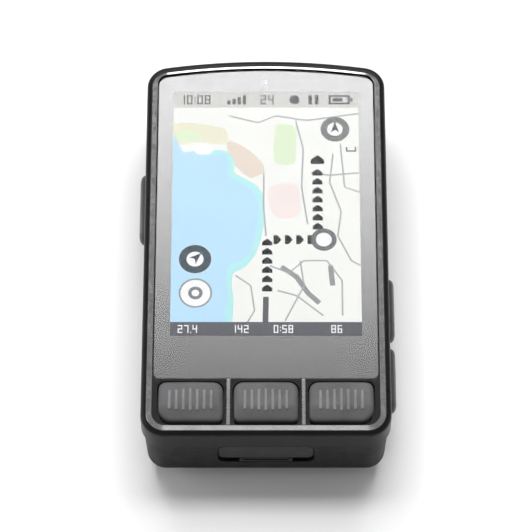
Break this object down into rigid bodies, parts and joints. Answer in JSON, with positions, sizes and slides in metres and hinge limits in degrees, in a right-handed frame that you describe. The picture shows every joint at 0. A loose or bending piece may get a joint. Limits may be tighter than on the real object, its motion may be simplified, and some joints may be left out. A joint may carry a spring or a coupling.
{
  "type": "cycling computer",
  "caption": "Handlebar cycling computer with a portrait display, front and side push buttons, a rubber port door and a quarter-turn hub on its back.",
  "frame": {"origin": "centre of the quarter-turn hub's end face, on which the computer lies, which is also the bottom centre of its bounding box", "axes": "+X towards the right-hand buttons, +Y towards the top of the display, +Z out of the display"},
  "size_m": [0.0534, 0.089, 0.0241],
  "materials": {
    "case_front": "satin",
    "case_rear": "matte",
    "seal": "matte",
    "cover_glass": "gloss",
    "adhesive": "matte",
    "optical_film": "gloss",
    "display": "satin",
    "backlight": "matte",
    "sheet_steel": "satin",
    "display_frame": "satin",
    "flex_circuit": "satin",
    "connector_plastic": "matte",
    "black_chip": "matte",
    "circuit_board": "satin",
    "shield_can": "satin",
    "antenna_ceramic": "satin",
    "inner_plastic": "matte",
    "antenna_metal": "satin",
    "battery_pouch": "satin",
    "foam": "matte",
    "lead_insulation": "matte",
    "membrane": "matte",
    "connector_shell": "satin",
    "door_rubber": "matte",
    "front_button": "satin",
    "side_button": "satin",
    "switch_housing": "matte",
    "plunger": "matte",
    "hub_plastic": "satin",
    "screw_steel": "satin"
  },
  "bodies": {
    "case": {"front_shell": "case_front", "rear_shell": "case_rear", "case_seal": "seal", "cover_glass": "cover_glass", "glass_adhesive": "adhesive", "optical_film": "optical_film", "lcd_panel": "display", "backlight": "backlight", "display_frame": "display_frame", "display_flex": "flex_circuit", "display_connector": "connector_plastic", "light_sensor": "black_chip", "main_board": "circuit_board", "processor_shield": "shield_can", "radio_shield": "shield_can", "processor_chip": "black_chip", "radio_chip": "black_chip", "board_chips": "black_chip", "radio_antenna": "antenna_ceramic", "gnss_carrier": "inner_plastic", "gnss_antenna": "antenna_metal", "battery": "battery_pouch", "battery_pad": "foam", "battery_leads": "lead_insulation", "battery_socket": "connector_plastic", "pressure_sensor": "shield_can", "vent_membrane": "membrane", "buzzer": "inner_plastic", "usb_receptacle": "connector_shell", "usb_tongue": "inner_plastic", "usb_seal": "seal", "usb_door_anchor": "door_rubber", "front_button_seal": "seal", "front_switch_left": "switch_housing", "front_switch_middle": "switch_housing", "front_switch_right": "switch_housing", "power_button_seal": "seal", "side_button_seal": "seal", "power_switch": "switch_housing", "up_switch": "switch_housing", "down_switch": "switch_housing", "twist_hub": "hub_plastic", "hub_backing_plate": "sheet_steel", "hub_screws": "screw_steel", "case_screws": "screw_steel"},
    "left_key": {"front_button_left": "front_button", "front_plunger_left": "plunger"},
    "middle_key": {"front_button_middle": "front_button", "front_plunger_middle": "plunger"},
    "right_key": {"front_button_right": "front_button", "front_plunger_right": "plunger"},
    "power_key": {"power_button": "side_button", "power_plunger": "plunger"},
    "up_key": {"up_button": "side_button", "up_plunger": "plunger"},
    "down_key": {"down_button": "side_button", "down_plunger": "plunger"},
    "port_door": {"usb_door": "door_rubber"}
  },
  "joints": [
    {"name": "left_press", "type": "slide", "parent": "case", "child": "left_key", "axis": [0, 0, -1], "range_m": [0, 0.0005], "stiffness_N_per_m": 2000, "springref_m": -0.0003},
    {"name": "middle_press", "type": "slide", "parent": "case", "child": "middle_key", "axis": [0, 0, -1], "range_m": [0, 0.0005], "stiffness_N_per_m": 2000, "springref_m": -0.0003},
    {"name": "right_press", "type": "slide", "parent": "case", "child": "right_key", "axis": [0, 0, -1], "range_m": [0, 0.0005], "stiffness_N_per_m": 2000, "springref_m": -0.0003},
    {"name": "power_press", "type": "slide", "parent": "case", "child": "power_key", "axis": [1, 0, 0], "range_m": [0, 0.0005], "stiffness_N_per_m": 2000, "springref_m": -0.0003},
    {"name": "up_press", "type": "slide", "parent": "case", "child": "up_key", "axis": [-1, 0, 0], "range_m": [0, 0.0005], "stiffness_N_per_m": 2000, "springref_m": -0.0003},
    {"name": "down_press", "type": "slide", "parent": "case", "child": "down_key", "axis": [-1, 0, 0], "range_m": [0, 0.0005], "stiffness_N_per_m": 2000, "springref_m": -0.0003},
    {"name": "door_hinge", "type": "hinge", "parent": "case", "child": "port_door", "pos_m": [0, -0.0433, 0.0096], "axis": [1, 0, 0], "range_deg": [0, 85]}
  ]
}
